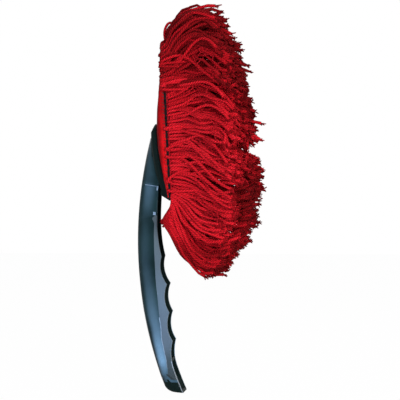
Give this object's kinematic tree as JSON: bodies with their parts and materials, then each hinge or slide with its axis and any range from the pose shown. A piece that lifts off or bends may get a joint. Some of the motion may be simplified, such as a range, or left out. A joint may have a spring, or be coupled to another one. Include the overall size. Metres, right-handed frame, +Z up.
{
  "type": "hand duster",
  "caption": "Hand duster: red cotton yarn strands on a padded cover that slips onto a flat paddle, with a bowed black plastic channel handle and finger grooves.",
  "frame": {"origin": "middle of the hand grip, inside the channel handle between its back and its finger grooves", "axes": "+Z up along the duster from the handle's end to the top of the yarn, +X toward the yarn and the finger grooves, Y across the duster"},
  "size_m": [0.0931, 0.0946, 0.2984],
  "materials": {
    "handle_plastic": "black moulded plastic with a soft bluish sheen",
    "screw_steel": "plain zinc",
    "red_cloth": "plain woven cotton",
    "wadding": "loose fibre wadding",
    "black_tape": "woven binding tape",
    "red_yarn": "twisted cotton yarn with frayed ends"
  },
  "bodies": {
    "handle": {"handle": "handle_plastic", "paddle": "handle_plastic", "paddle_screw_1": "screw_steel", "paddle_screw_2": "screw_steel"},
    "mop_cover": {"pocket_lining": "red_cloth", "back_padding": "wadding", "back_cloth": "red_cloth", "edge_binding": "black_tape", "strands_bottom": "red_yarn", "strands_lower": "red_yarn", "strands_upper": "red_yarn", "strands_top": "red_yarn"}
  },
  "joints": [
    {"name": "mop_cover_slide", "type": "slide", "parent": "handle", "child": "mop_cover", "axis": [-0.0471, 0, 0.9989], "range_m": [0, 0.118]}
  ]
}
